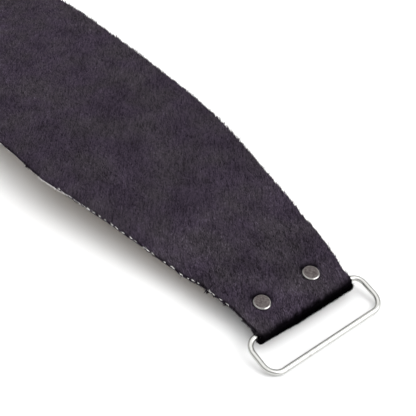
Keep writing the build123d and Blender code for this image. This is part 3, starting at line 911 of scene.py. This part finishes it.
def backing_finish():
    """Off-white plain-woven backing cloth, with painted shade in the hollows between its yarns."""
    f = Finish("backing_weave", {"Sheen Weight": 0.1, "Specular IOR Level": 0.3})
    flat = f.attribute(FLAT, "Vector")
    warp, weft = (f.wave(flat, way, Scale=0.45, Distortion=0.6, Detail=1.0) for way in "XY")
    weave = f.maths("MULTIPLY", warp, weft)
    dirt = f.levels(f.noise(flat, 0.3, 3.0), 0.3, 0.7)
    colour = f.mixed(dirt, (0.70, 0.68, 0.67), (0.82, 0.80, 0.79))
    # Painted shade where the weave is low, between the yarns
    colour = f.mixed(f.levels(weave, 0.0, 0.6, 0.5, 0.0), colour, (0.46, 0.44, 0.43))
    return f.feed(colour, f.levels(weave, 0, 1, 0.95, 0.8), f.bump(weave, 0.12))


def glue_finish():
    """Tacky amber adhesive with the fine roll marks it was laid on with, and fibres and dust stuck in it."""
    f = Finish("adhesive", {"Specular IOR Level": 0.35, "Coat Weight": 0.05, "Coat Roughness": 0.5})
    flat = f.attribute(FLAT, "Vector")
    rolled = f.noise(f.stretched(flat, (1 / 30, 1 / 2.2, 1)), 1.0, 3.0, 0.6)
    patches = f.noise(flat, 1 / 40, 4.0, 0.6)
    dust = f.levels(f.noise(flat, 0.9, 4.0, 0.7), 0.66, 0.72)
    colour = f.mixed(f.levels(patches, 0.35, 0.65), (0.150, 0.098, 0.050), (0.21, 0.148, 0.084))
    colour = f.mixed(f.levels(rolled, 0.3, 0.7, 0.0, 0.35), colour, (0.13, 0.085, 0.045))
    colour = f.mixed(dust, colour, (0.09, 0.08, 0.075))
    return f.feed(colour, f.levels(rolled, 0.3, 0.7, 0.42, 0.62), f.bump(rolled, 0.15, 0.5))


def thread_finish(name, light, dark):
    """Spun yarn: a fine twist and uneven dye."""
    f = Finish(name, {"Sheen Weight": 0.2, "Specular IOR Level": 0.3})
    flat = f.attribute(FLAT, "Vector")
    colour = f.mixed(f.levels(f.noise(flat, 0.45, 3.0), 0.3, 0.7), dark, light)
    twist = f.noise(f.stretched(flat, (3, 3, 0.8)), 1.5, 2.0)
    return f.feed(colour, f.levels(twist, 0.3, 0.7, 0.75, 0.95), f.bump(twist, 0.05))


def webbing_finish():
    """Dark nylon webbing with worn, paler knuckles, and painted shade in the hollows between them."""
    f = Finish("webbing", {"Sheen Weight": 0.15, "Specular IOR Level": 0.4})
    flat = f.attribute(FLAT, "Vector")
    unshaded = f.attribute(UNSHADED)
    # Painted shade: near black in the hollows, paler on the knuckles' crowns
    colour = f.mixed(f.levels(unshaded, 0.0, 1.0), (0.008, 0.008, 0.009), (0.040, 0.040, 0.044))
    worn = f.levels(f.noise(flat, 0.25, 4.0, 0.65), 0.52, 0.70, 0.0, 0.5)
    colour = f.mixed(f.maths("MULTIPLY", worn, unshaded), colour, (0.10, 0.10, 0.105))
    fibres = f.noise(f.stretched(flat, (0.8, 6, 1)), 1.2, 2.0)
    return f.feed(colour, f.levels(fibres, 0.3, 0.7, 0.5, 0.75), f.bump(fibres, 0.06))


def wire_finish():
    """Drawn stainless wire, polished by use, with faint draw marks and a few dull spots."""
    f = Finish("stainless", {"Metallic": 1.0})
    place = f.place()
    marks = f.noise(f.stretched(place, (1, 1, 6)), 0.8, 4.0, 0.6)
    spots = f.levels(f.noise(place, 0.35, 4.0, 0.6), 0.55, 0.72)
    colour = f.mixed(spots, (0.56, 0.56, 0.54), (0.37, 0.37, 0.35))
    rough = f.maths("ADD", f.levels(marks, 0.3, 0.7, 0.14, 0.26), f.levels(spots, 0.0, 1.0, 0.0, 0.12))
    return f.feed(colour, rough, f.bump(marks, 0.03, 0.5))


def distance_from_heads(f, place, node, radius, slope):
    """How far the surface is from the axis of the nearer of a node's two heads."""
    low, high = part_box(node)
    x, y, _ = f.parts(f.add("VectorMath", {0: place, 1: (low + high) / (2 * MM)}, operation="SUBTRACT"))
    half_spacing = (high.y - low.y) / (2 * MM) - radius
    across = f.maths("SUBTRACT", f.maths("ABSOLUTE", y), half_spacing)
    along = f.maths("MULTIPLY", x, 1 / math.cos(slope))
    return f.maths("SQRT", f.maths("ADD", f.maths("POWER", across, 2.0), f.maths("POWER", along, 2.0)))


# How far inside a head's outer edge its rim, painted bright as a highlight, begins, and is whole
RIM_BEGINS = 0.66
RIM_WHOLE = 0.42


def rivet_finish(node, radius, slope=0.0):
    """Pewter-grey steel for a pair of heads: a speckled, scratched flat face, and a smoother rim painted
    bright as a highlight.
    """
    f = Finish(node + "_steel", {"Metallic": 1.0})
    place = f.place()
    distance = distance_from_heads(f, place, node, radius, slope)
    rim_highlight = f.levels(distance, radius - RIM_BEGINS, radius - RIM_WHOLE)
    speckle = f.noise(place, 0.9, 4.0, 0.7)
    scratches = f.noise(f.stretched(place, (0.5, 5, 1), 0.5), 1.0, 3.0, 0.7)
    face = f.mixed(f.levels(speckle, 0.36, 0.64), (0.068, 0.056, 0.056), (0.165, 0.146, 0.142))
    face = f.mixed(f.levels(scratches, 0.58, 0.72, 0.0, 0.5), face, (0.24, 0.225, 0.21))
    # Painted highlight: the rim much paler than the face
    colour = f.mixed(rim_highlight, face, (0.50, 0.49, 0.475))
    return f.feed(colour, f.levels(rim_highlight, 0.0, 1.0, 0.46, 0.20), f.bump(speckle, 0.04, 0.6))


def plate_finish():
    """Stamped stainless, brushed along the strip, with duller handling marks."""
    f = Finish("brushed_steel", {"Metallic": 1.0})
    place = f.place()
    brushed = f.noise(f.stretched(place, (0.15, 5, 5)), 1.0, 4.0, 0.65)
    marks = f.levels(f.noise(place, 0.22, 5.0, 0.7), 0.54, 0.74)
    colour = f.mixed(f.levels(brushed, 0.3, 0.7), (0.36, 0.36, 0.352), (0.52, 0.52, 0.505))
    colour = f.mixed(marks, colour, (0.30, 0.292, 0.28))
    rough = f.maths("ADD", f.levels(brushed, 0.3, 0.7, 0.26, 0.38), f.levels(marks, 0.0, 1.0, 0.0, 0.15))
    return f.feed(colour, rough, f.bump(brushed, 0.03, 0.5))


def moulded_finish(name, light, dark, roughness, grain):
    """Moulded plastic or rubber: a fine spark-eroded grain, and pale scuffs."""
    f = Finish(name, {"Specular IOR Level": 0.45})
    place = f.place()
    fine = f.noise(place, grain, 3.0, 0.6)
    scuffs = f.levels(f.noise(f.stretched(place, (0.3, 1.2, 1)), 0.4, 5.0, 0.7), 0.58, 0.70, 0.0, 0.45)
    colour = f.mixed(f.levels(fine, 0.3, 0.7), dark, light)
    colour = f.mixed(scuffs, colour, tuple(0.5 * c + 0.12 for c in light))
    rough = f.levels(fine, 0.3, 0.7, roughness - 0.08, roughness + 0.08)
    return f.feed(colour, rough, f.bump(fine, 0.06, 0.6))


def floor_finish():
    """Matt and nearly white."""
    constants = {"Base Color": (0.93, 0.93, 0.93, 1), "Roughness": 0.9, "Specular IOR Level": 0.1}
    return Finish("pale_floor", constants).material


# The photograph's viewing angle on the tip, in metres
CAMERA_TARGET = Vector((0.77869, -0.0013, 0.02145))
CAMERA_AZIMUTH = math.radians(51.60)
CAMERA_ELEVATION = math.radians(39.99)
CAMERA_DISTANCE = 0.47583
CAMERA_LENS = 72.92
CAMERA_SENSOR = 36


def camera():
    """The camera that the picture is taken from."""
    level = math.cos(CAMERA_ELEVATION)
    east, south = math.sin(CAMERA_AZIMUTH) * level, math.cos(CAMERA_AZIMUTH) * level
    back = Vector((east, -south, math.sin(CAMERA_ELEVATION)))
    lens = bpy.data.cameras.new("camera")
    lens.lens = CAMERA_LENS
    lens.sensor_width = CAMERA_SENSOR
    lens.clip_start = 0.01
    made = new_object("camera", lens)
    made.location = CAMERA_TARGET + back * CAMERA_DISTANCE
    made.rotation_mode = "QUATERNION"
    made.rotation_quaternion = (-back).to_track_quat("-Z", "Y")
    bpy.context.scene.camera = made


# In metres
FLOOR_HALF = 20
FLOOR_DROP = 0.0002


def floor():
    """A pale floor, a little under the skin."""
    mesh = bpy.data.meshes.new("floor")
    corners = [(-1, -1), (1, -1), (1, 1), (-1, 1)]
    mesh.from_pydata([(x * FLOOR_HALF, y * FLOOR_HALF, 0) for x, y in corners], [], [(0, 1, 2, 3)])
    mesh.materials.append(floor_finish())
    made = new_object("floor", mesh)
    made.location.z = -FLOOR_DROP


# The direction of the soft window in the world's light
WINDOW = Vector((0.785, 0.476, 0.45))


def world():
    """Bright above and dim at the horizon, with a broad soft window to one side, and white to the camera."""
    made = bpy.data.worlds.new("studio")
    bpy.context.scene.world = made
    made.use_nodes = True
    w = Nodes(made.node_tree)
    direction = w.add("TexCoord", {}, "Generated")
    sky = w.levels(w.parts(direction)["Z"], 0.45, 0.92, 0.42, 1.55)
    toward = w.add("VectorMath", {0: direction, 1: WINDOW.normalized()}, "Value", operation="DOT_PRODUCT")
    window = w.levels(toward, 0.74, 0.98, 0.0, 2.4, interpolation_type="SMOOTHSTEP")
    seen = w.add("LightPath", {}, "Is Camera Ray")
    background = w.tree.nodes["Background"].inputs
    w.put(background["Strength"], w.add("Mix", {0: seen, 2: w.maths("ADD", sky, window), 3: 1.0}))
    w.put(background["Color"], (1, 1, 1, 1))


LIGHT_FROM = Vector((0.64, 0.45, 0.95))
LIGHT_STRENGTH = 0.45
LIGHT_SPREAD = math.radians(38)


def softbox():
    """One wide soft light from the window's side."""
    lamp = bpy.data.lights.new("softbox", "SUN")
    lamp.energy, lamp.angle = LIGHT_STRENGTH, LIGHT_SPREAD
    made = new_object("softbox", lamp)
    made.rotation_mode = "QUATERNION"
    made.rotation_quaternion = LIGHT_FROM.to_track_quat("Z", "Y")


def cut_area():
    """The area of the cut strip in square metres."""
    steps = np.diff(CLOTH_S)
    middles = (CLOTH_S[1:] + CLOTH_S[:-1]) / 2
    return float((steps * (rim(middles, LEFT) - rim(middles, RIGHT))).sum()) * MM**2


# The strip's greatest width, in metres
CUT_WIDTH = 0.1345
# The nap within so far of the fold line is attached to no body, and the rest is attached to the front body or
# the rear one
NEAR_FOLD = 14
REAR_SIDE, FRONT_SIDE = FOLD_LINE - NEAR_FOLD, FOLD_LINE + NEAR_FOLD
DETAILED = -360
ROUND_ROLL = CLOTH_X.max()
# Where the backing's cut edge shows: first and last distance, and the share of the nap's fibres kept there
THINNED = [(-163, -146, 0.1), (-146, -106, 0.6)]

# Name, seed, first and last distance, tufts to the square millimetre, and their length and width
FRONT_FIELDS = [
    ("nap_tip", 21, -125, 3, 4.2, 2.6, 0.30),
    ("nap_middle", 22, -240, -125, 3.3, 2.8, 0.34),
    ("nap_arch", 23, DETAILED, -240, 2.6, 3.0, 0.38),
    ("nap_waist", 24, -570, DETAILED, 1.6, 3.3, 0.45),
    ("nap_back", 25, FRONT_SIDE, -570, 1.6, 3.3, 0.45),
]
REAR_FIELDS = [
    ("nap_behind", 41, -1060, REAR_SIDE, 1.5, 3.3, 0.45),
    ("nap_hind", 42, -1340, -1060, 1.5, 3.3, 0.45),
    ("nap_tail", 43, TAIL_END, -1340, 1.5, 3.3, 0.45),
]
FOLD_FIELDS = [("nap_fold", 46, REAR_SIDE, FRONT_SIDE, 1.8, 3.0, 0.42)]
# Name, seed, side, first and last distance, fibres to the millimetre, and where they are thinned
FRONT_EDGES = [
    ("nap_edge_right", 31, RIGHT, DETAILED, ROUND_ROLL, 13.0, THINNED),
    ("nap_edge_left", 32, LEFT, DETAILED, ROUND_ROLL, 6.0, []),
    ("nap_side_right", 33, RIGHT, FRONT_SIDE, DETAILED, 6.0, []),
    ("nap_side_left", 34, LEFT, FRONT_SIDE, DETAILED, 6.0, []),
]
REAR_EDGES = [
    ("nap_tail_side_right", 44, RIGHT, TAIL_END, REAR_SIDE, 6.0, []),
    ("nap_tail_side_left", 45, LEFT, TAIL_END, REAR_SIDE, 6.0, []),
]
FOLD_EDGES = [
    ("nap_fold_right", 47, RIGHT, REAR_SIDE, FRONT_SIDE, 6.0, []),
    ("nap_fold_left", 48, LEFT, REAR_SIDE, FRONT_SIDE, 6.0, []),
]
# Name, seed, first and last distance from the roll's end, how many, the shortest and the longest
ROLLS = [
    ("nap_roll", 35, -13, 5, 5200, 0.7, 1.5),
    ("nap_fringe", 36, -3.4, -0.3, 9000, 1.0, 2.6),
]
FRAYED = [
    Fray(RIGHT, -782, DETAILED, 16.0, 2, 0.6, 0.3, 1.0, 1.4, 0.7, 0.6),
    Fray(RIGHT, DETAILED, -163, 9.0, 3, 0.5, 0.4, 1.4, 1.5, 0.7, 0.6),
    Fray(RIGHT, -163, -146, 0.8, 4, 0.5, 0.3, 1.0, 2.2, 4.0, 0.15),
    Fray(RIGHT, -146, -122, 3.4, 5, 0.5, 0.2, 2.3, 2.0, 2.4, 0.3),
    Fray(RIGHT, -122, -18, 4.6, 6, 0.3, 0.3, 2.6, 2.3, 0.9, 1.2),
    Fray(LEFT, -782, -3, 14.0, 1, 0.4, 0.2, 1.0, 0.9, 0.4, 0.3),
]

bpy.context.scene.view_settings.view_transform = "Standard"
camera()
floor()
world()
softbox()

nap = plush_finish()
pale_thread = thread_finish("backing_yarn", (0.86, 0.84, 0.83), (0.46, 0.44, 0.44))
stitch_thread = thread_finish("stitch_thread", (0.40, 0.39, 0.38), (0.22, 0.21, 0.21))

plush = plush_layer(nap)
backing = flat_layer("backing_cloth", GLUE, BACKING_TOP, 0.0, backing_finish())
glue = flat_layer("glue_layer", 0.0, GLUE, 0.3, glue_finish())
layers = ((plush, "nap", "plush"), (backing, "backing", "woven_backing"), (glue, "glue", "glue"))
for piece, stem, slot in layers:
    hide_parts(f"{stem}_front", f"{stem}_rear")
    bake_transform(piece)

front_nap = [nap_field(*row, nap) for row in FRONT_FIELDS] + [edge_nap(*row, nap) for row in FRONT_EDGES]
front_nap += [fold_nap(*row, nap) for row in ROLLS]
rear_nap = [nap_field(*row, nap) for row in REAR_FIELDS] + [edge_nap(*row, nap) for row in REAR_EDGES]
bent_nap = [nap_field(*row, nap) for row in FOLD_FIELDS] + [edge_nap(*row, nap) for row in FOLD_EDGES]
fibres = threads("edge_threads", 41, FRAYED, pale_thread)
for piece in front_nap:
    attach(piece, "front")
for piece in rear_nap:
    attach(piece, "rear")
for piece in bent_nap:
    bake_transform(piece)
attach(fibres, "front")

strap = strap_mesh(webbing_finish())
stitches = stitch_mesh(stitch_thread)
for piece, node, slot in ((strap, "tail_strap", "webbing"), (stitches, "strap_stitching", "thread")):
    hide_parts(node)
    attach(piece, "strap")

wire, plate = wire_finish(), plate_finish()
black_plastic = moulded_finish("sheet_plastic", (0.030, 0.030, 0.032), (0.018, 0.018, 0.02), 0.5, 1.6)
rubber = moulded_finish("rubber", (0.022, 0.022, 0.022), (0.012, 0.012, 0.012), 0.72, 2.4)
node_finishes = {
    "tip_bail": wire,
    "tail_hook": wire,
    "pivot_pin": wire,
    "cam_spring": wire,
    "tip_rivets": rivet_finish("tip_rivets", HEAD_RADIUS, TIP_SLOPE),
    "tip_rivet_caps": rivet_finish("tip_rivet_caps", CAP_RADIUS, TIP_SLOPE),
    "tail_rivets": rivet_finish("tail_rivets", HEAD_RADIUS),
    "tail_rivet_caps": rivet_finish("tail_rivet_caps", CAP_RADIUS),
    "buckle_frame": plate,
    "cam_lever": plate,
    "tip_stiffener": black_plastic,
    "bail_sleeve": black_plastic,
    "tail_patch": black_plastic,
    "hook_sleeve": rubber,
}
for name, material in node_finishes.items():
    node = frame["nodes"][name]
    node.data.materials.clear()
    node.data.materials.append(material)

cut = dict(flat=(CUT_WIDTH, float(CLOTH_S[-1]) * MM), held="laid", area=cut_area())
strap_flat = (2 * STRAP_HALF_WIDTH * MM, float(strap_line()[3][-1]) * MM)
